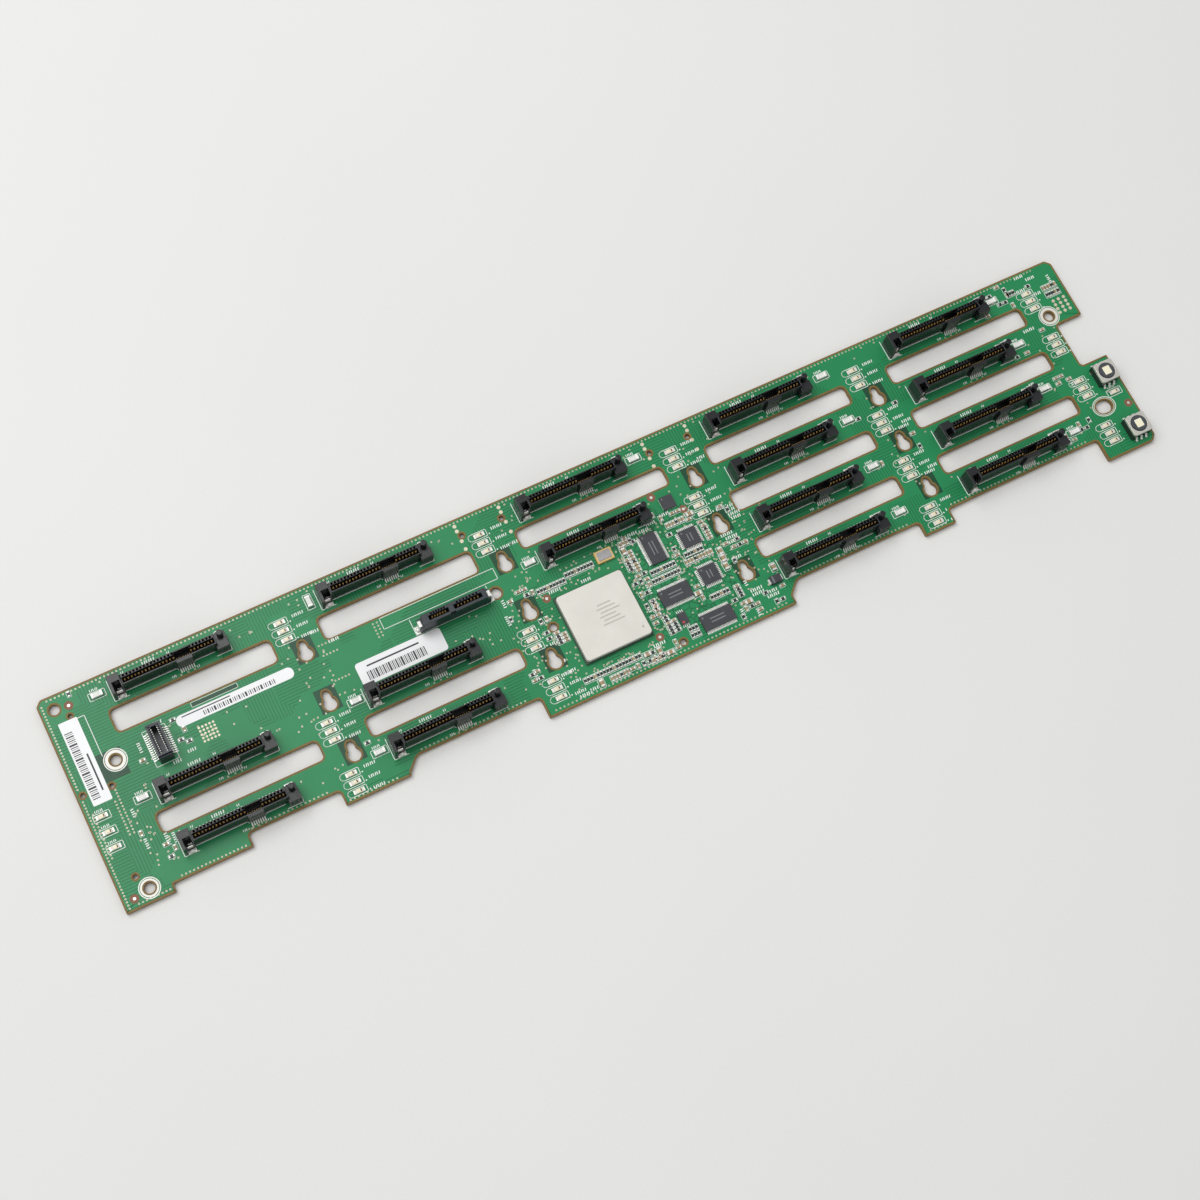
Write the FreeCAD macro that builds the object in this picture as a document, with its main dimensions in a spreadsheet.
"""Drive backplane board of a two-unit server: one long circuit board with sixteen drive sockets.

The underside of the board is the XY plane and +Z points up through the parts soldered on it.
X runs along the board, Y across it, and the origin is the middle of the board's outline.
Places on the board are measured from its lower left corner, or from the edge that a part follows.
"""
import FreeCAD, Part
import math
import os
import Sketcher

SIZES = {
    # the laminate
    "board_length": 413.5,
    "board_width": 82.2,
    "board_thickness": 1.6,
    "corner_bevel": 2.0,
    # the grid of drive bays; the columns share the length right of the first one evenly
    "row_pitch": 20.0,
    "first_column": 25.0,
    "first_row": 11.0,
    # stepped lower edge: feet that reach down and bays cut up into the board
    "left_foot_length": 17.8,
    "left_foot_inset": 1.45,
    "left_step_length": 29.3,
    "left_step_inset": 4.35,
    "edge_bay_depth": 9.15,
    "middle_foot_to_next": 21.6,
    "middle_foot_length": 24.5,
    "middle_foot_inset": 3.55,
    "middle_foot_slope": 4.7,
    "centre_foot_to_next": 22.5,
    "centre_foot_inset": 1.2,
    "centre_foot_slope": 4.5,
    "centre_foot_end_to_next": 0.7,
    "finger_to_next": 22.4,
    "finger_length": 12.9,
    "finger_inset": 3.5,
    "right_foot_length": 21.6,
    # step in the right edge
    "right_step_depth": 11.4,
    "right_step_low": 38.0,
    "right_step_high": 56.8,
    # air slots between the rows of drives
    "air_slot_gap": 18.2,
    "air_slot_lead": 3.4,
    "air_slot_round": 1.7,
    "air_slot_wide": 8.5,
    "air_slot_middle": 7.2,
    "air_slot_narrow": 7.35,
    "air_slot_rise": 10.6,
    "air_slot_wide_rise": 9.45,
    "router_turn": 0.9,
    # keyholes that hook the board on the studs of its carrier
    "keyhole_to_next": 11.8,
    "keyhole_rise": 7.7,
    "keyhole_radius": 2.5,
    "keyhole_neck_radius": 1.4,
    "keyhole_neck_rise": 3.9,
    # screw and tooling holes
    "screw_radius": 1.9,
    "left_screw_from_left": 17.1,
    "left_screw_from_low": 51.9,
    "low_screw_from_left": 10.2,
    "low_screw_from_low": 6.4,
    "right_screw_from_right": 12.1,
    "right_screw_from_low": 61.2,
    "oblong_from_right": 12.0,
    "oblong_from_low": 19.9,
    "oblong_length": 6.4,
    "oblong_width": 5.2,
    "oblong_round": 2.3,
    "corner_hole_radius": 2.0,
    "corner_hole_from_left": 5.2,
    "corner_hole_from_top": 5.2,
    "peg_hole_radius": 2.2,
    "peg_hole_from_slim": 3.0,
    "peg_hole_rise": 2.4,
    "tool_hole_radius": 1.6,
    "tool_hole_from_column": -6.8,
    "tool_hole_from_low": 30.6,
    "edge_hole_radius": 1.3,
    "edge_hole_from_column": 32.9,
    "edge_hole_from_low": 5.8,
    # drive socket, placed by the corner of its footprint
    "socket_body_start": 4.6,
    "socket_body_length": 34.7,
    "socket_body_front": 2.0,
    "socket_body_width": 3.7,
    "socket_height": 7.9,
    "socket_slot_front": 2.5,
    "socket_slot_width": 1.9,
    "socket_slot_end_wall": 0.5,
    "socket_slot_floor": 1.0,
    "socket_bulge_length": 5.7,
    "socket_bulge_out": 1.0,
    "socket_relief_width": 0.9,
    "socket_relief_floor": 2.4,
    "tower_start": 0.3,
    "tower_front": 0.3,
    "tower_width": 6.6,
    "tower_height": 8.4,
    "tower_channel_width": 2.7,
    "tower_channel_length": 3.7,
    "tower_channel_floor": 1.2,
    "block_length": 4.0,
    "block_width": 3.4,
    "block_height": 5.9,
    "block_overlap": 0.7,
    "shelf_width": 3.0,
    "shelf_height": 4.6,
    "post_radius": 1.15,
    "post_height": 8.9,
    "post_from_end": 1.9,
    "post_rise": 5.0,
    # sprung contacts of a drive socket
    "contact_width": 0.5,
    "contact_end_gap": 0.65,
    "contact_bulge_gap": 0.15,
    "contact_bow": 0.95,
    "contact_foot": 1.2,
    "contact_peak": 6.3,
    "contact_top": 7.3,
    "fine_contact_pitch": 0.8,
    "fine_contact_width": 0.35,
    "fine_contact_bow": 0.6,
    # solder tabs that hold a drive socket down
    "tab_length": 3.2,
    "tab_width": 1.6,
    "tab_thickness": 0.5,
    "front_tab_start": 1.4,
    "front_tab_rise": -0.2,
    "back_tab_to_end": 3.7,
    "back_tab_rise": 6.75,
    # slim socket of the optical drive
    "slim_from_column": 27.6,
    "slim_from_low": 48.3,
    "slim_length": 27.4,
    "slim_width": 3.9,
    "slim_height": 7.8,
    "slim_slot_front": 1.1,
    "slim_slot_width": 1.6,
    "slim_slot_floor": 1.2,
    "slim_signal_start": 3.8,
    "slim_signal_length": 7.7,
    "slim_rib": 2.0,
    "slim_power_length": 10.9,
    "slim_signal_pitch": 1.0,
    "slim_power_pitch": 1.27,
    "slim_tab_length": 1.5,
    "slim_tab_width": 2.9,
    # small two-row socket by the left screw
    "mezz_from_left": 30.4,
    "mezz_from_low": 44.0,
    "mezz_length": 12.7,
    "mezz_width": 5.2,
    "mezz_height": 7.6,
    "mezz_slot_inset": 1.3,
    "mezz_slot_end": 1.4,
    "mezz_slot_floor": 2.0,
    "mezz_pin_pitch": 0.8,
    "mezz_pin_width": 0.3,
    "mezz_pin_length": 1.9,
    "mezz_pin_thickness": 0.25,
    "mezz_pin_start": 1.55,
    # expander chip
    "expander_from_column": -2.5,
    "expander_from_low": 12.7,
    "expander_side": 27.0,
    "expander_base": 0.9,
    "expander_lid_inset": 0.5,
    "expander_lid_height": 2.1,
    "expander_lid_round": 1.2,
    # oscillator
    "oscillator_from_column": 18.2,
    "oscillator_from_low": 44.4,
    "oscillator_length": 6.8,
    "oscillator_width": 4.8,
    "oscillator_height": 1.5,
    # flat chips
    "chip_height": 1.0,
    "tall_chip_from_column": 36.0,
    "tall_chip_from_low": 35.9,
    "tall_chip_length": 6.1,
    "tall_chip_width": 11.9,
    "wide_chip_from_column": 32.5,
    "wide_chip_from_low": 19.8,
    "wide_chip_length": 11.9,
    "wide_chip_width": 6.2,
    "low_chip_from_column": 41.8,
    "low_chip_from_low": 5.4,
    "low_chip_length": 12.7,
    "low_chip_width": 6.1,
    "quad_chip_side": 6.8,
    "quad_chip_from_column": 49.7,
    "upper_quad_from_low": 36.5,
    "lower_quad_from_low": 21.0,
    "lead_free_chip_shift": 0.4,
    "lead_free_chip_from_low": 52.9,
    "lead_free_chip_side": 5.0,
    "regulator_from_column": 35.1,
    "regulator_from_low": 11.4,
    "regulator_length": 3.1,
    "regulator_width": 4.4,
    "diode_to_next": 5.9,
    "diode_from_low": 10.8,
    "diode_length": 4.2,
    "diode_width": 3.0,
    "diode_height": 1.9,
    # status lamps beside each bay and at the ends of the board
    "lamp_length": 4.2,
    "lamp_width": 1.6,
    "lamp_height": 0.9,
    "lamp_to_next": 17.8,
    "lamp_pitch": 3.3,
    "lamp_rise": -5.5,
    "edge_lamp_from_left": 3.3,
    "edge_lamp_from_low": 23.2,
    "edge_lamp_pitch": 5.85,
    "button_lamp_from_right": 7.3,
    "button_lamp_from_low": 22.7,
    # fuses
    "fuse_length": 4.2,
    "fuse_width": 1.9,
    "fuse_height": 1.3,
    "fuse_rise": 3.8,
    # two lit push switches at the right end
    "switch_side": 8.0,
    "switch_case_height": 3.5,
    "switch_frame_height": 1.1,
    "switch_frame_round": 0.9,
    "switch_well_side": 7.0,
    "switch_well_floor": 1.3,
    "switch_opening_radius": 3.2,
    "cap_clearance": 0.2,
    "cap_play": 0.05,
    "cap_head_rise": 0.35,
    "cap_flange_thickness": 0.8,
    "cap_travel": 0.3,
    "lens_length": 2.9,
    "lens_width": 3.3,
    "lens_rise": 0.12,
    "lens_depth": 0.6,
    "switch_from_right": 1.7,
    "upper_switch_from_low": 27.1,
    "lower_switch_from_low": 3.4,
    "terminal_pitch": 2.1,
    "terminal_width": 0.8,
    "terminal_length": 1.2,
    "terminal_thickness": 0.3,
    # blank paper labels
    "label_thickness": 0.1,
    "tall_label_from_left": 4.3,
    "tall_label_from_low": 39.9,
    "tall_label_length": 6.8,
    "tall_label_width": 31.7,
    "strip_label_from_left": 40.7,
    "strip_label_from_low": 52.8,
    "strip_label_length": 43.6,
    "strip_label_width": 4.2,
    "wide_label_from_column": 1.4,
    "wide_label_from_low": 39.1,
    "wide_label_length": 32.8,
    "wide_label_width": 8.8,
    # chip resistors and capacitors
    "chip_part_length": 1.6,
    "chip_part_width": 0.8,
    "chip_part_height": 0.6,
    "chip_part_pitch": 1.3,
}

# Rows that carry a drive socket in each column, counted from the lower edge.
BAYS = ((0, 1, 3), (0, 1, 3), (2, 3), (0, 1, 2, 3), (0, 1, 2, 3))
# Column and row of the bay that each fuse serves, how far it starts from its socket, and whether
# it stands across the board. A negative distance is left of the socket's footprint, a positive
# one right of its far end.
FUSES = (
    (0, 1, -6.9, False), (0, 3, -6.8, False),
    (1, 0, -5.7, False), (1, 1, -5.5, False), (1, 3, -4.1, True),
    (2, 2, -5.9, False), (2, 3, 3.0, False),
    (3, 0, 5.3, False), (3, 1, 4.9, False), (3, 2, 5.3, False), (3, 3, 4.9, False),
    (4, 0, 4.2, False), (4, 1, 2.7, False), (4, 2, 2.7, False), (4, 3, 2.2, False),
)
# Rows of chip resistors and capacitors round the chips: how far right of the chips' column the
# first one starts, how high it starts on the board, and how many there are.
CHIP_ROWS = ((5.6, 44.9, 7), (-5.5, 7.0, 10), (33.8, 32.6, 6))
POWER_CONTACTS = 15
SIGNAL_CONTACTS = 7
SLIM_SIGNAL_CONTACTS = 6
MEZZ_PINS = 13
# Round stretches of the repeated openings turn in this many chords, to keep the board light.
CORNER_CHORDS = 3
KEYHOLE_CHORDS = 7
LOBE_CHORDS = 3
PLAIN_HOLE_SIDES = 8
POST_SIDES = 6
QUARTER = 90
# The round part of a keyhole runs from one shoulder of its neck down round to the other.
KEYHOLE_SHOULDER = 150
KEYHOLE_TURN = 240
KEYHOLE_COLUMNS = 4
KEYHOLE_ROWS = 3
LAMPS_PER_BAY = 3
EDGE_LAMPS = 3
TERMINALS = 3
TOUCH = 1e-6

document = FreeCAD.newDocument("drive_backplane_board")
sheet = document.addObject("Spreadsheet::Sheet", "Sizes")
for line, (alias, value) in enumerate(SIZES.items(), start=1):
    sheet.set(f"A{line}", alias)
    sheet.set(f"B{line}", str(value))
    sheet.setAlias(f"B{line}", alias)
document.recompute()

BOARD_LEFT = "-Sizes.board_length / 2"
BOARD_LOW = "-Sizes.board_width / 2"
BOARD_TOP = "Sizes.board_thickness"
COLUMN_PITCH = f"(Sizes.board_length - Sizes.first_column) / {len(BAYS)}"
CHIP_COLUMN = 2
SLIM_COLUMN = 1
SOCKET_END = "(Sizes.socket_body_start + Sizes.socket_body_length + Sizes.block_length)"


def value_of(expression):
    """The number that an expression over the sheet gives now."""
    return float(sheet.evalExpression(expression))


def bind(item, **expressions):
    """Tie properties to the sheet: underscores between words of a path stand for its dots."""
    for path, expression in expressions.items():
        item.setExpression(path.replace("__", "."), expression)


def place(item, x, y, z):
    """Put an object at a place that the sheet decides."""
    bind(item, Placement__Base__x=x, Placement__Base__y=y, Placement__Base__z=z)


def new_body(label, x, y, z):
    """A PartDesign body with its own origin at x, y, z. It may hold several separate solids."""
    body = document.addObject("PartDesign::Body", label)
    body.Label = label
    body.AllowCompound = True
    place(body, x, y, z)
    return body


def new_sketch(body, name, role="XY_Plane", height=None):
    """A sketch on one of the body's own origin planes, lifted by height where that is given."""
    sketch = body.newObject("Sketcher::SketchObject", f"{body.Label}_{name}")
    plane = [item for item in body.Origin.OriginFeatures if item.Role == role][0]
    sketch.AttachmentSupport = [(plane, "")]
    sketch.MapMode = "FlatFace"
    if height:
        bind(sketch, AttachmentOffset__Base__z=height)
    return sketch


def hold_point(sketch, geometry, corner, x, y):
    """Fix one end of a line at x, y from the sketch's origin, both bound to the sheet."""
    for kind, expression in (("DistanceX", x), ("DistanceY", y)):
        constraint = Sketcher.Constraint(kind, -1, 1, geometry, corner, value_of(expression))
        index = sketch.addConstraint(constraint)
        sketch.setExpression(f"Constraints[{index}]", expression)


def draw_outline(sketch, corners):
    """A closed outline of straight lines through corners given as pairs of expressions."""
    points = [FreeCAD.Vector(value_of(x), value_of(y), 0) for x, y in corners]
    first = sketch.GeometryCount
    for number, point in enumerate(points):
        following = points[(number + 1) % len(points)]
        sketch.addGeometry(Part.LineSegment(point, following), False)
    for number, (x, y) in enumerate(corners):
        following = first + (number + 1) % len(points)
        sketch.addConstraint(Sketcher.Constraint("Coincident", first + number, 2, following, 1))
        hold_point(sketch, first + number, 1, x, y)


def draw_rectangle(sketch, x, y, length, width):
    """A rectangle by its lower left corner and its two sides."""
    right = f"({x}) + ({length})"
    upper = f"({y}) + ({width})"
    draw_outline(sketch, ((x, y), (right, y), (right, upper), (x, upper)))


def arc_chords(x, y, radius, start, turn, chords):
    """Points along an arc, as expressions: chords equal steps over turn degrees, ends included."""
    points = []
    for step in range(chords + 1):
        angle = math.radians(start + turn * step / chords)
        points.append((f"({x}) + ({radius}) * ({math.cos(angle):.9f})",
                       f"({y}) + ({radius}) * ({math.sin(angle):.9f})"))
    return points


def draw_rounded_rectangle(sketch, x, y, length, width, radius):
    """A rectangle whose corners turn in a few short chords."""
    right = f"({x}) + ({length}) - ({radius})"
    upper = f"({y}) + ({width}) - ({radius})"
    left, low = f"({x}) + ({radius})", f"({y}) + ({radius})"
    corners = []
    for number, centre in enumerate(((right, upper), (left, upper), (left, low), (right, low))):
        corners += arc_chords(*centre, radius, number * QUARTER, QUARTER, CORNER_CHORDS)
    draw_outline(sketch, corners)


def draw_circle(sketch, x, y, radius):
    """A circle with its centre and radius bound to the sheet."""
    centre = FreeCAD.Vector(value_of(x), value_of(y), 0)
    geometry = sketch.addGeometry(Part.Circle(centre, FreeCAD.Vector(0, 0, 1), value_of(radius)), False)
    hold_point(sketch, geometry, 3, x, y)
    index = sketch.addConstraint(Sketcher.Constraint("Radius", geometry, value_of(radius)))
    sketch.setExpression(f"Constraints[{index}]", radius)


def pad(body, sketch, height):
    """Extrude a sketch upwards from its plane."""
    feature = body.newObject("PartDesign::Pad", f"{sketch.Name}_pad")
    feature.Profile = sketch
    bind(feature, Length=height)
    return feature


def pocket(body, sketch, depth=None):
    """Cut a sketch upwards through all that stands over its plane, or down by depth."""
    feature = body.newObject("PartDesign::Pocket", f"{sketch.Name}_cut")
    feature.Profile = sketch
    if depth:
        bind(feature, Length=depth)
    else:
        feature.Type = "ThroughAll"
        feature.Reversed = True
    return feature


def pattern(body, feature, pitch, count, axis="H_Axis"):
    """Repeat a feature along an axis of its own sketch."""
    repeated = body.newObject("PartDesign::LinearPattern", f"{feature.Name}_row")
    repeated.Originals = [feature]
    repeated.Direction = (feature.Profile[0], [axis])
    repeated.Mode = "Spacing"
    repeated.Occurrences = count
    bind(repeated, Offset=pitch)
    body.Tip = repeated
    return repeated


def rectangular_pad(body, name, x, y, length, width, height, base=None):
    """A straight block of a body."""
    sketch = new_sketch(body, name, height=base)
    draw_rectangle(sketch, x, y, length, width)
    return pad(body, sketch, height)


def rectangular_cut(body, name, x, y, length, width, floor=None):
    """A straight hole of a body, open upwards from its floor."""
    sketch = new_sketch(body, name, height=floor)
    draw_rectangle(sketch, x, y, length, width)
    return pocket(body, sketch)


def bevel_upright_edges(body, feature, size, keep):
    """Bevel those vertical edges of a feature that keep picks by their place."""
    document.recompute()
    names = []
    for number, edge in enumerate(feature.Shape.Edges, start=1):
        start, end = [vertex.Point for vertex in edge.Vertexes]
        upright = abs(start.x - end.x) + abs(start.y - end.y) < TOUCH
        if upright and keep(start):
            names.append(f"Edge{number}")
    bevel = body.newObject("PartDesign::Chamfer", f"{feature.Name}_bevel")
    bevel.Base = (feature, names)
    bind(bevel, Size=size)
    return bevel


def block(name, x, y, z, length, width, height):
    """A loose box of a group."""
    item = document.addObject("Part::Box", name)
    bind(item, Length=length, Width=width, Height=height)
    place(item, x, y, z)
    return item


def group(label, items):
    """Several small solids of one kind that share a node."""
    compound = document.addObject("Part::Compound", label)
    compound.Label = label
    compound.Links = items
    return compound


def from_left(expression):
    return f"{expression} - Sizes.board_length / 2"


def from_right(expression):
    return f"Sizes.board_length / 2 - ({expression})"


def from_low(expression):
    return f"{expression} - Sizes.board_width / 2"


def column_start(column):
    """How far from the board's left end the sockets of a column start."""
    return f"(Sizes.first_column + {column} * {COLUMN_PITCH})"


def socket_corner(column, row):
    """Where the footprint of the drive socket in a bay starts."""
    x = from_left(column_start(column))
    y = from_low(f"Sizes.first_row + {row} * Sizes.row_pitch")
    return x, y


def bays():
    """Column and row of each drive bay, column by column and each from the lower edge up."""
    return [(column, row) for column, rows in enumerate(BAYS) for row in rows]


def lower_edge_corners():
    """Corners of the stepped lower edge from the left end to the right, as the feet and bays fall."""
    step = "Sizes.left_foot_length"
    bay_one = f"{step} + Sizes.left_step_length"
    foot = f"{column_start(1)} - Sizes.middle_foot_to_next"
    slope = f"{foot} + Sizes.middle_foot_length"
    bay_two = f"{slope} + Sizes.middle_foot_slope"
    centre = f"{column_start(2)} - Sizes.centre_foot_to_next"
    fall = f"{column_start(3)} - Sizes.centre_foot_end_to_next"
    bay_three = f"{fall} + Sizes.centre_foot_slope"
    finger = f"{column_start(4)} - Sizes.finger_to_next"
    bay_four = f"{finger} + Sizes.finger_length"
    right = "Sizes.board_length - Sizes.right_foot_length"
    depth = "Sizes.edge_bay_depth"
    return (
        ("0", "Sizes.left_foot_inset"),
        (step, "Sizes.left_foot_inset"),
        (step, "Sizes.left_step_inset"),
        (bay_one, "Sizes.left_step_inset"),
        (bay_one, depth),
        (foot, depth),
        (foot, "Sizes.middle_foot_inset"),
        (slope, "Sizes.middle_foot_inset"),
        (slope, f"{depth} - Sizes.middle_foot_slope"),
        (bay_two, depth),
        (centre, depth),
        (centre, "Sizes.centre_foot_inset"),
        (fall, "Sizes.centre_foot_inset"),
        (fall, f"{depth} - Sizes.centre_foot_slope"),
        (bay_three, depth),
        (finger, depth),
        (finger, "Sizes.finger_inset"),
        (bay_four, "Sizes.finger_inset"),
        (bay_four, depth),
        (right, depth),
        (right, "0"),
        ("Sizes.board_length - Sizes.corner_bevel", "0"),
        ("Sizes.board_length", "Sizes.corner_bevel"),
    )


def upper_edge_corners():
    """Corners up the right edge with its step, along the top and down to the left end."""
    step = "Sizes.board_length - Sizes.right_step_depth"
    return (
        ("Sizes.board_length", "Sizes.right_step_low"),
        (step, "Sizes.right_step_low"),
        (step, "Sizes.right_step_high"),
        ("Sizes.board_length", "Sizes.right_step_high"),
        ("Sizes.board_length", "Sizes.board_width - Sizes.corner_bevel"),
        ("Sizes.board_length - Sizes.corner_bevel", "Sizes.board_width"),
        ("Sizes.corner_bevel", "Sizes.board_width"),
        ("0", "Sizes.board_width - Sizes.corner_bevel"),
    )


# --- the laminate ------------------------------------------------------------------------------

def air_slot(body, name, column, row, rise, width, columns):
    """An air slot over one row of bays, repeated along the columns that have it."""
    sketch = new_sketch(body, name)
    start = f"{column_start(column)} - Sizes.air_slot_lead"
    low = f"Sizes.first_row + {row} * Sizes.row_pitch + {rise}"
    draw_rounded_rectangle(sketch, start, low, f"{COLUMN_PITCH} - Sizes.air_slot_gap", width,
                           "Sizes.air_slot_round")
    cut = pocket(body, sketch)
    return pattern(body, cut, COLUMN_PITCH, columns)


def keyhole_outline(x, y):
    """A round hole for a stud's head, open above into a neck that ends in a half-round lobe."""
    neck = "Sizes.keyhole_neck_radius"
    mouth = f"{y} + sqrt(Sizes.keyhole_radius ^ 2 - {neck} ^ 2)"
    hole = arc_chords(x, y, "Sizes.keyhole_radius", KEYHOLE_SHOULDER, KEYHOLE_TURN, KEYHOLE_CHORDS)
    lobe = arc_chords(x, f"{y} + Sizes.keyhole_neck_rise", neck, 0, 2 * QUARTER, LOBE_CHORDS)
    return lobe + [(f"{x} - {neck}", mouth)] + hole + [(f"{x} + {neck}", mouth)]


def keyholes(body):
    """Keyholes right of the bays, one over each row that has an air slot's height of board."""
    sketch = new_sketch(body, "keyhole")
    x = f"{column_start(1)} - Sizes.keyhole_to_next"
    for row in range(KEYHOLE_ROWS):
        y = f"Sizes.first_row + Sizes.keyhole_rise + {row} * Sizes.row_pitch"
        draw_outline(sketch, keyhole_outline(x, y))
    pattern(body, pocket(body, sketch), COLUMN_PITCH, KEYHOLE_COLUMNS)


def board_holes(body):
    """Screw holes with their oblong partner, and the plain tooling and peg holes."""
    holes = new_sketch(body, "holes")
    right = "Sizes.board_length"
    draw_circle(holes, "Sizes.left_screw_from_left", "Sizes.left_screw_from_low", "Sizes.screw_radius")
    draw_circle(holes, "Sizes.low_screw_from_left", "Sizes.low_screw_from_low", "Sizes.screw_radius")
    draw_circle(holes, f"{right} - Sizes.right_screw_from_right", "Sizes.right_screw_from_low",
                "Sizes.screw_radius")
    pocket(body, holes)
    plain = new_sketch(body, "plain_holes")
    slim_end = f"{column_start(SLIM_COLUMN)} + Sizes.slim_from_column + Sizes.slim_length"
    chips = column_start(CHIP_COLUMN)
    for hole, x, y in (
            ("corner_hole", "Sizes.corner_hole_from_left", "Sizes.board_width - Sizes.corner_hole_from_top"),
            ("peg_hole", f"{slim_end} + Sizes.peg_hole_from_slim", "Sizes.slim_from_low + Sizes.peg_hole_rise"),
            ("tool_hole", f"{chips} + Sizes.tool_hole_from_column", "Sizes.tool_hole_from_low"),
            ("edge_hole", f"{chips} + Sizes.edge_hole_from_column", "Sizes.edge_hole_from_low")):
        radius = f"Sizes.{hole}_radius"
        draw_outline(plain, arc_chords(x, y, radius, 0, 4 * QUARTER, PLAIN_HOLE_SIDES)[1:])
    pocket(body, plain)
    oblong = new_sketch(body, "oblong_hole")
    draw_rounded_rectangle(oblong, f"{right} - Sizes.oblong_from_right - Sizes.oblong_length / 2",
                           "Sizes.oblong_from_low - Sizes.oblong_width / 2",
                           "Sizes.oblong_length", "Sizes.oblong_width", "Sizes.oblong_round")
    pocket(body, oblong)


def circuit_board():
    """One routed panel: stepped outline, air slots, keyholes, screw holes and tooling holes."""
    body = new_body("circuit_board", BOARD_LEFT, BOARD_LOW, "0")
    outline = new_sketch(body, "outline")
    draw_outline(outline, lower_edge_corners() + upper_edge_corners())
    panel = pad(body, outline, "Sizes.board_thickness")
    bay_ceiling = value_of("Sizes.edge_bay_depth")
    step_side = value_of("Sizes.board_length - Sizes.right_step_depth")

    def router_turns(point):
        return abs(point.y - bay_ceiling) < TOUCH or abs(point.x - step_side) < TOUCH

    bevel_upright_edges(body, panel, "Sizes.router_turn", router_turns)
    wide_rise = "Sizes.air_slot_wide_rise"
    rise = "Sizes.air_slot_rise"
    air_slot(body, "upper_slot_wide", 0, 2, wide_rise, "Sizes.air_slot_wide", 2)
    air_slot(body, "lower_slot_middle", 0, 0, rise, "Sizes.air_slot_middle", 2)
    air_slot(body, "upper_slot", 2, 2, rise, "Sizes.air_slot_narrow", 3)
    air_slot(body, "middle_slot", 3, 1, rise, "Sizes.air_slot_narrow", 2)
    air_slot(body, "lower_slot", 3, 0, rise, "Sizes.air_slot_narrow", 2)
    keyholes(body)
    board_holes(body)
    return body


# --- drive sockets -----------------------------------------------------------------------------

# The power and signal contacts share what the bulge and the gaps leave of the slot's length.
CONTACT_PITCH = (
    "(Sizes.socket_body_length - 2 * Sizes.socket_slot_end_wall - 2 * Sizes.contact_end_gap"
    " - Sizes.socket_bulge_length - 2 * Sizes.contact_bulge_gap - 2 * Sizes.contact_width)"
    f" / {POWER_CONTACTS + SIGNAL_CONTACTS - 2}"
)
POWER_START = "(Sizes.socket_body_start + Sizes.socket_slot_end_wall + Sizes.contact_end_gap)"
BULGE_START = (
    f"({POWER_START} + {POWER_CONTACTS - 1} * {CONTACT_PITCH} + Sizes.contact_width"
    " + Sizes.contact_bulge_gap)"
)


def drive_socket(label, x, y):
    """A moulded housing: slotted bar with a bulge, a guide tower at one end, a block and post at the other."""
    body = new_body(label, x, y, BOARD_TOP)
    end = "Sizes.socket_body_start + Sizes.socket_body_length"
    slot_back = "Sizes.socket_slot_front + Sizes.socket_slot_width"
    bar_back = "Sizes.socket_body_front + Sizes.socket_body_width"
    rectangular_pad(body, "bar", "Sizes.socket_body_start", "Sizes.socket_body_front",
                    "Sizes.socket_body_length", "Sizes.socket_body_width", "Sizes.socket_height")
    rectangular_pad(body, "bulge", BULGE_START,
                    "Sizes.socket_body_front - Sizes.socket_bulge_out",
                    "Sizes.socket_bulge_length", "Sizes.socket_bulge_out + Sizes.socket_slot_front"
                    " - Sizes.socket_body_front", "Sizes.socket_height")
    rectangular_pad(body, "tower", "Sizes.tower_start", "Sizes.tower_front",
                    "Sizes.socket_body_start - Sizes.tower_start", "Sizes.tower_width",
                    "Sizes.tower_height")
    block_start = f"{end} - Sizes.block_overlap"
    block_pad = rectangular_pad(body, "block", block_start, "Sizes.tower_front",
                                "Sizes.block_length + Sizes.block_overlap", "Sizes.block_width",
                                "Sizes.block_height")
    rectangular_pad(body, "shelf", block_start, "Sizes.tower_front + Sizes.block_width",
                    "Sizes.block_length + Sizes.block_overlap", "Sizes.shelf_width",
                    "Sizes.shelf_height")
    post = new_sketch(body, "post")
    around = arc_chords(f"{end} + Sizes.block_length - Sizes.post_from_end", "Sizes.post_rise",
                        "Sizes.post_radius", 0, 4 * QUARTER, POST_SIDES)
    draw_outline(post, around[1:])
    pad(body, post, "Sizes.post_height")
    rectangular_cut(body, "slot", "Sizes.socket_body_start + Sizes.socket_slot_end_wall",
                    "Sizes.socket_slot_front",
                    "Sizes.socket_body_length - 2 * Sizes.socket_slot_end_wall",
                    "Sizes.socket_slot_width", "Sizes.socket_slot_floor")
    rectangular_cut(body, "relief", BULGE_START, slot_back,
                    "Sizes.socket_bulge_length", "Sizes.socket_relief_width",
                    "Sizes.socket_relief_floor")
    rectangular_cut(body, "channel", "Sizes.front_tab_start", "Sizes.tower_front",
                    "Sizes.tower_channel_width", "Sizes.tower_channel_length",
                    "Sizes.tower_channel_floor")
    rectangular_cut(body, "tab_recess", "Sizes.front_tab_start", "Sizes.tower_front",
                    "Sizes.socket_body_start - Sizes.front_tab_start",
                    "Sizes.front_tab_rise + Sizes.tab_width - Sizes.tower_front")
    return body


def contact_row(body, name, wall, bow, start, width, pitch, count):
    """Sprung contacts: each a wedge whose back lies on the slot's wall and whose nose bows into the slot."""
    sketch = new_sketch(body, name, "YZ_Plane", start)
    foot = "Sizes.contact_foot"
    draw_outline(sketch, ((wall, foot), (f"{wall} + {bow}", "Sizes.contact_peak"),
                          (wall, "Sizes.contact_top")))
    pattern(body, pad(body, sketch, width), pitch, count, "N_Axis")


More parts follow.
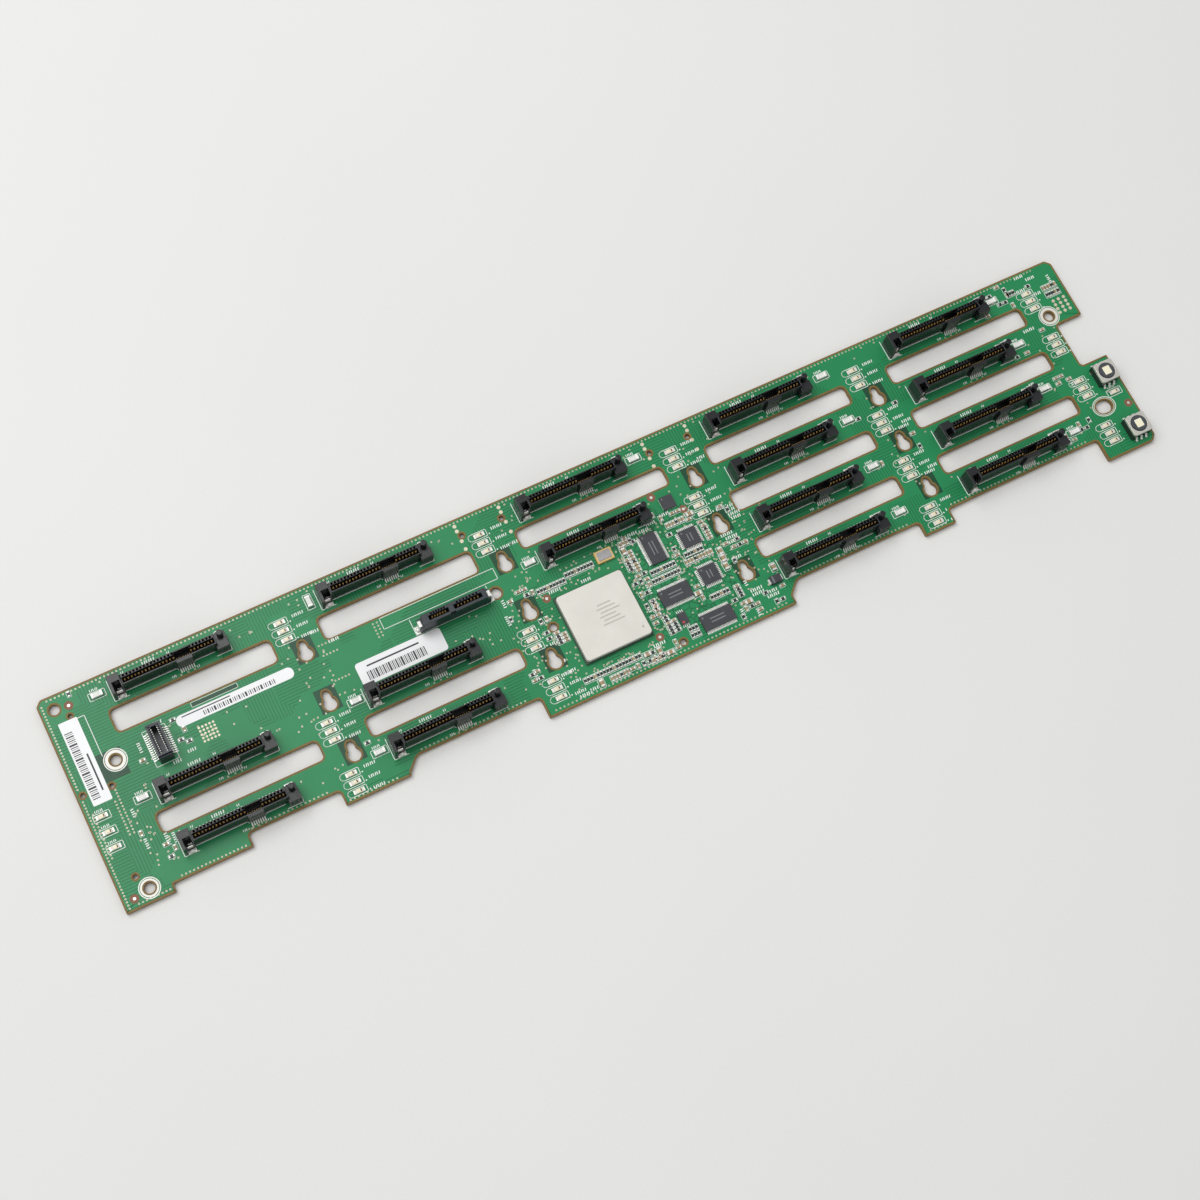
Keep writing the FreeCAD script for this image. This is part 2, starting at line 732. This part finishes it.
def drive_contacts(label, x, y):
    """The sprung contacts of one drive socket: power and signal behind the slot, fine ones in its bulge."""
    body = new_body(label, x, y, BOARD_TOP)
    slot_back = "Sizes.socket_slot_front + Sizes.socket_slot_width"
    signal_start = f"{BULGE_START} + Sizes.socket_bulge_length + Sizes.contact_bulge_gap"
    fine_row = f"{SIGNAL_CONTACTS - 1} * Sizes.fine_contact_pitch + Sizes.fine_contact_width"
    contact_row(body, "power", slot_back, "-Sizes.contact_bow", POWER_START,
                "Sizes.contact_width", CONTACT_PITCH, POWER_CONTACTS)
    contact_row(body, "signal", slot_back, "-Sizes.contact_bow", signal_start,
                "Sizes.contact_width", CONTACT_PITCH, SIGNAL_CONTACTS)
    contact_row(body, "fine", "Sizes.socket_slot_front", "Sizes.fine_contact_bow",
                f"{BULGE_START} + (Sizes.socket_bulge_length - ({fine_row})) / 2",
                "Sizes.fine_contact_width", "Sizes.fine_contact_pitch", SIGNAL_CONTACTS)
    return body


def hold_down_tabs(number, x, y):
    """The two soldered tabs of one drive socket: in front of its tower and behind its block."""
    tabs = []
    for side, start in (("front", "Sizes.front_tab_start"), ("back", f"{SOCKET_END} - Sizes.back_tab_to_end")):
        tabs.append(block(f"tab_{side}_{number:02d}", f"{x} + {start}",
                          f"{y} + Sizes.{side}_tab_rise", BOARD_TOP, "Sizes.tab_length",
                          "Sizes.tab_width", "Sizes.tab_thickness"))
    return tabs


# --- the other sockets -------------------------------------------------------------------------

SLIM_START = f"{column_start(SLIM_COLUMN)} + Sizes.slim_from_column"


def slim_socket():
    """Socket of the optical drive: one bar with a short signal slot and a longer power slot."""
    body = new_body("slim_drive_socket", from_left(SLIM_START),
                    from_low("Sizes.slim_from_low"), BOARD_TOP)
    rectangular_pad(body, "bar", "0", "0", "Sizes.slim_length", "Sizes.slim_width",
                    "Sizes.slim_height")
    rectangular_cut(body, "signal_slot", "Sizes.slim_signal_start", "Sizes.slim_slot_front",
                    "Sizes.slim_signal_length", "Sizes.slim_slot_width", "Sizes.slim_slot_floor")
    rectangular_cut(body, "power_slot",
                    "Sizes.slim_signal_start + Sizes.slim_signal_length + Sizes.slim_rib",
                    "Sizes.slim_slot_front", "Sizes.slim_power_length", "Sizes.slim_slot_width",
                    "Sizes.slim_slot_floor")
    return body


def slim_contacts():
    """Contacts of the optical drive's socket, each group centred in its own slot."""
    body = new_body("slim_drive_contacts", from_left(SLIM_START),
                    from_low("Sizes.slim_from_low"), BOARD_TOP)
    wall = "Sizes.slim_slot_front + Sizes.slim_slot_width"
    power = "Sizes.slim_signal_start + Sizes.slim_signal_length + Sizes.slim_rib"
    for name, start, length, pitch, count in (
            ("signal", "Sizes.slim_signal_start", "Sizes.slim_signal_length",
             "Sizes.slim_signal_pitch", SLIM_SIGNAL_CONTACTS),
            ("power", power, "Sizes.slim_power_length", "Sizes.slim_power_pitch", SIGNAL_CONTACTS)):
        row = f"({count - 1} * {pitch} + Sizes.contact_width)"
        contact_row(body, name, wall, "-Sizes.contact_bow", f"{start} + ({length} - {row}) / 2",
                    "Sizes.contact_width", pitch, count)
    return body


def slim_tabs():
    """The two soldered tabs at the ends of the optical drive's socket."""
    left = SLIM_START
    tabs = []
    for name, x in (("left", f"{left} - Sizes.slim_tab_length"), ("right", f"{left} + Sizes.slim_length")):
        tabs.append(block(f"slim_tab_{name}", from_left(x), from_low("Sizes.slim_from_low"), BOARD_TOP,
                          "Sizes.slim_tab_length", "Sizes.slim_tab_width", "Sizes.tab_thickness"))
    return group("slim_drive_tabs", tabs)


def mezzanine_socket():
    """A small two-row socket that stands across the board, with one long slot."""
    body = new_body("mezzanine_socket", from_left("Sizes.mezz_from_left"),
                    from_low("Sizes.mezz_from_low"), BOARD_TOP)
    rectangular_pad(body, "bar", "0", "0", "Sizes.mezz_width", "Sizes.mezz_length",
                    "Sizes.mezz_height")
    rectangular_cut(body, "slot", "Sizes.mezz_slot_inset", "Sizes.mezz_slot_end",
                    "Sizes.mezz_width - 2 * Sizes.mezz_slot_inset",
                    "Sizes.mezz_length - 2 * Sizes.mezz_slot_end", "Sizes.mezz_slot_floor")
    return body


def mezzanine_pins():
    """Leads that leave both long sides of the small socket along the board."""
    left = "Sizes.mezz_from_left"
    pins = []
    for side, x in (("left", f"{left} - Sizes.mezz_pin_length"), ("right", f"{left} + Sizes.mezz_width")):
        for number in range(MEZZ_PINS):
            y = f"Sizes.mezz_from_low + Sizes.mezz_pin_start + {number} * Sizes.mezz_pin_pitch"
            pins.append(block(f"mezz_pin_{side}_{number}", from_left(x), from_low(y), BOARD_TOP,
                              "Sizes.mezz_pin_length", "Sizes.mezz_pin_width",
                              "Sizes.mezz_pin_thickness"))
    return group("mezzanine_pins", pins)


# --- chips -------------------------------------------------------------------------------------

def from_chip_column(expression):
    return from_left(f"{column_start(CHIP_COLUMN)} + {expression}")


def expander_substrate():
    """The square carrier that the expander chip's lid is glued on."""
    body = new_body("expander_substrate", from_chip_column("Sizes.expander_from_column"),
                    from_low("Sizes.expander_from_low"), BOARD_TOP)
    rectangular_pad(body, "base", "0", "0", "Sizes.expander_side", "Sizes.expander_side",
                    "Sizes.expander_base")
    return body


def expander_lid():
    """The metal heat spreader of the expander chip, with rounded corners."""
    body = new_body("expander_lid", from_chip_column("Sizes.expander_from_column"),
                    from_low("Sizes.expander_from_low"), f"{BOARD_TOP} + Sizes.expander_base")
    side = "Sizes.expander_side - 2 * Sizes.expander_lid_inset"
    lid = new_sketch(body, "lid")
    draw_rounded_rectangle(lid, "Sizes.expander_lid_inset", "Sizes.expander_lid_inset", side, side,
                           "Sizes.expander_lid_round")
    pad(body, lid, "Sizes.expander_lid_height")
    return body


def flat_chip(name, x, y, length, width, height="Sizes.chip_height"):
    """The moulded body of a chip, which rests on the board."""
    return block(name, x, y, BOARD_TOP, length, width, height)


def named_chip(name, height="Sizes.chip_height"):
    """A chip placed from its column of sockets and the lower edge by the sizes that carry its name."""
    return flat_chip(name, from_chip_column(f"Sizes.{name}_from_column"),
                     from_low(f"Sizes.{name}_from_low"), f"Sizes.{name}_length",
                     f"Sizes.{name}_width", height)


def quad_chips():
    """Two alike square chips, one above the other."""
    x = from_chip_column("Sizes.quad_chip_from_column")
    chips = []
    for place_name in ("upper_quad", "lower_quad"):
        chips.append(flat_chip(place_name, x, from_low(f"Sizes.{place_name}_from_low"),
                               "Sizes.quad_chip_side", "Sizes.quad_chip_side"))
    return group("quad_chips", chips)


def small_chips():
    """A square chip midway between a socket and the lamps, a small regulator and a diode in its block."""
    side = "Sizes.lead_free_chip_side"
    midway = f"({SOCKET_END} + {COLUMN_PITCH} - Sizes.lamp_to_next - {side}) / 2"
    square = flat_chip("lead_free_chip", from_chip_column(f"{midway} + Sizes.lead_free_chip_shift"),
                       from_low("Sizes.lead_free_chip_from_low"), side, side)
    diode = flat_chip("diode", from_left(f"{column_start(CHIP_COLUMN + 1)} - Sizes.diode_to_next"),
                      from_low("Sizes.diode_from_low"), "Sizes.diode_length", "Sizes.diode_width",
                      "Sizes.diode_height")
    return group("small_chips", [square, named_chip("regulator"), diode])


# --- lamps, fuses and chip parts ---------------------------------------------------------------

def lamp(name, x, y):
    return block(name, x, y, BOARD_TOP, "Sizes.lamp_length", "Sizes.lamp_width", "Sizes.lamp_height")


def status_lamps():
    """Lamps right of each bay, three lamps at the left end and one under the upper switch."""
    lamps = []
    for column, row in bays():
        x, y = socket_corner(column, row)
        for number in range(LAMPS_PER_BAY):
            rise = f"{y} + Sizes.lamp_rise + {number} * Sizes.lamp_pitch"
            lamps.append(lamp(f"lamp_{column}_{row}_{number}",
                              f"{x} + {COLUMN_PITCH} - Sizes.lamp_to_next", rise))
    for number in range(EDGE_LAMPS):
        rise = f"Sizes.edge_lamp_from_low + {number} * Sizes.edge_lamp_pitch"
        lamps.append(lamp(f"edge_lamp_{number}", from_left("Sizes.edge_lamp_from_left"), from_low(rise)))
    lamps.append(lamp("button_lamp", from_right("Sizes.button_lamp_from_right"),
                      from_low("Sizes.button_lamp_from_low")))
    return group("status_lamps", lamps)


def fuses():
    """White chip fuses, one for each bay that has its own."""
    items = []
    for column, row, shift, across in FUSES:
        x, y = socket_corner(column, row)
        start = f"{x} + {shift}" if shift < 0 else f"{x} + {SOCKET_END} + {shift}"
        length, width = ("Sizes.fuse_width", "Sizes.fuse_length") if across else (
            "Sizes.fuse_length", "Sizes.fuse_width")
        rise = f"{y} + Sizes.fuse_rise + (Sizes.fuse_width - {width}) / 2"
        items.append(block(f"fuse_{column}_{row}", start, rise, BOARD_TOP, length, width,
                           "Sizes.fuse_height"))
    return group("fuses", items)


def chip_parts():
    """Rows of chip resistors and capacitors, each part lying across its row."""
    items = []
    for row, (start, low, count) in enumerate(CHIP_ROWS):
        for number in range(count):
            x = from_chip_column(f"{start} + {number} * Sizes.chip_part_pitch")
            items.append(block(f"chip_part_{row}_{number}", x, from_low(low), BOARD_TOP,
                               "Sizes.chip_part_width", "Sizes.chip_part_length",
                               "Sizes.chip_part_height"))
    return group("chip_parts", items)


# --- lit push switches -------------------------------------------------------------------------

def switch_corner(which):
    """The lower left corner of a switch, placed from the board's right end."""
    x = from_right("Sizes.switch_from_right + Sizes.switch_side")
    return x, from_low(f"Sizes.{which}_switch_from_low")


def switch_case(which):
    """The moulded case, with a square well for the cap's flange."""
    body = new_body(f"{which}_switch_case", *switch_corner(which), BOARD_TOP)
    rectangular_pad(body, "case", "0", "0", "Sizes.switch_side", "Sizes.switch_side",
                    "Sizes.switch_case_height")
    wall = "(Sizes.switch_side - Sizes.switch_well_side) / 2"
    rectangular_cut(body, "well", wall, wall, "Sizes.switch_well_side", "Sizes.switch_well_side",
                    "Sizes.switch_well_floor")
    return body


def switch_frame(which):
    """The metal frame on the case, with rounded corners and a round opening that keeps the cap in."""
    body = new_body(f"{which}_switch_frame", *switch_corner(which),
                    f"{BOARD_TOP} + Sizes.switch_case_height")
    frame = new_sketch(body, "frame")
    draw_rounded_rectangle(frame, "0", "0", "Sizes.switch_side", "Sizes.switch_side",
                           "Sizes.switch_frame_round")
    draw_circle(frame, "Sizes.switch_side / 2", "Sizes.switch_side / 2",
                "Sizes.switch_opening_radius")
    pad(body, frame, "Sizes.switch_frame_height")
    return body


def button_cap(which):
    """The cap that travels: a flange under the frame, a head through it and a recess for the lens."""
    x, y = switch_corner(which)
    middle = "Sizes.switch_side / 2"
    base = "Sizes.switch_case_height - Sizes.cap_play - Sizes.cap_flange_thickness"
    body = new_body(f"{which}_button_cap", f"{x} + {middle}", f"{y} + {middle}",
                    f"{BOARD_TOP} + {base}")
    half = "Sizes.switch_well_side / 2 - Sizes.cap_clearance"
    rectangular_pad(body, "flange", f"-({half})", f"-({half})", f"2 * ({half})", f"2 * ({half})",
                    "Sizes.cap_flange_thickness")
    head = new_sketch(body, "head")
    draw_circle(head, "0", "0", "Sizes.switch_opening_radius - Sizes.cap_clearance")
    pad(body, head, "Sizes.cap_flange_thickness + Sizes.cap_play + Sizes.switch_frame_height"
                    " + Sizes.cap_head_rise")
    floor = ("Sizes.cap_flange_thickness + Sizes.cap_play + Sizes.switch_frame_height"
             " + Sizes.cap_head_rise - Sizes.lens_depth")
    rectangular_cut(body, "recess", "-Sizes.lens_length / 2", "-Sizes.lens_width / 2",
                    "Sizes.lens_length", "Sizes.lens_width", floor)
    return body


def button_lens(which):
    """The clear window in the middle of the cap."""
    x, y = switch_corner(which)
    top = "Sizes.switch_case_height + Sizes.switch_frame_height + Sizes.cap_head_rise"
    return block(f"{which}_button_lens", f"{x} + (Sizes.switch_side - Sizes.lens_length) / 2",
                 f"{y} + (Sizes.switch_side - Sizes.lens_width) / 2",
                 f"{BOARD_TOP} + {top} - Sizes.lens_depth", "Sizes.lens_length",
                 "Sizes.lens_width", "Sizes.lens_depth + Sizes.lens_rise")


def switch_terminals():
    """Soldered terminals along the front and back of both switches."""
    items = []
    for which in ("upper", "lower"):
        x, y = switch_corner(which)
        for side, edge in (("front", f"{y} - Sizes.terminal_length"), ("back", f"{y} + Sizes.switch_side")):
            for number in range(TERMINALS):
                shift = f"{number - (TERMINALS - 1) / 2} * Sizes.terminal_pitch"
                start = f"{x} + Sizes.switch_side / 2 + {shift} - Sizes.terminal_width / 2"
                items.append(block(f"terminal_{which}_{side}_{number}", start, edge, BOARD_TOP,
                                   "Sizes.terminal_width", "Sizes.terminal_length",
                                   "Sizes.terminal_thickness"))
    return group("switch_terminals", items)


# --- labels ------------------------------------------------------------------------------------

def blank_labels():
    """Three paper labels stuck on the board."""
    body = new_body("blank_labels", BOARD_LEFT, BOARD_LOW, BOARD_TOP)
    sheet_of_labels = new_sketch(body, "labels")
    for which, start in (
            ("tall", "Sizes.tall_label_from_left"), ("strip", "Sizes.strip_label_from_left"),
            ("wide", f"{column_start(SLIM_COLUMN)} + Sizes.wide_label_from_column")):
        draw_rectangle(sheet_of_labels, start, f"Sizes.{which}_label_from_low",
                       f"Sizes.{which}_label_length", f"Sizes.{which}_label_width")
    pad(body, sheet_of_labels, "Sizes.label_thickness")
    return body


# --- the assembly ------------------------------------------------------------------------------

def build():
    """Every sub-part, in the order in which the board is populated."""
    parts = [circuit_board()]
    tabs = []
    for number, (column, row) in enumerate(bays(), start=1):
        x, y = socket_corner(column, row)
        parts.append(drive_socket(f"drive_socket_{number:02d}", x, y))
        parts.append(drive_contacts(f"drive_contacts_{number:02d}", x, y))
        tabs.extend(hold_down_tabs(number, x, y))
    parts.append(group("hold_down_tabs", tabs))
    parts += [slim_socket(), slim_contacts(), slim_tabs(), mezzanine_socket(), mezzanine_pins()]
    parts += [expander_substrate(), expander_lid(), named_chip("oscillator", "Sizes.oscillator_height")]
    parts += [named_chip("tall_chip"), named_chip("wide_chip"), named_chip("low_chip")]
    parts += [quad_chips(), small_chips(), status_lamps(), fuses(), chip_parts()]
    for which in ("upper", "lower"):
        parts += [switch_case(which), switch_frame(which), button_cap(which), button_lens(which)]
    parts += [switch_terminals(), blank_labels()]
    return parts


parts = build()
document.recompute()
for item in document.Objects:
    if "Invalid" in item.State or "Error" in item.State:
        raise RuntimeError(f"{item.Label} failed: {item.State}")
for part in parts:
    if part.Shape.isNull() or not part.Shape.isValid():
        raise RuntimeError(f"{part.Label} has no valid shape")

os.makedirs("parts", exist_ok=True)
for part in parts:
    part.Shape.exportStep(f"parts/{part.Label}.step")
print(f"{len(parts)} sub-parts")
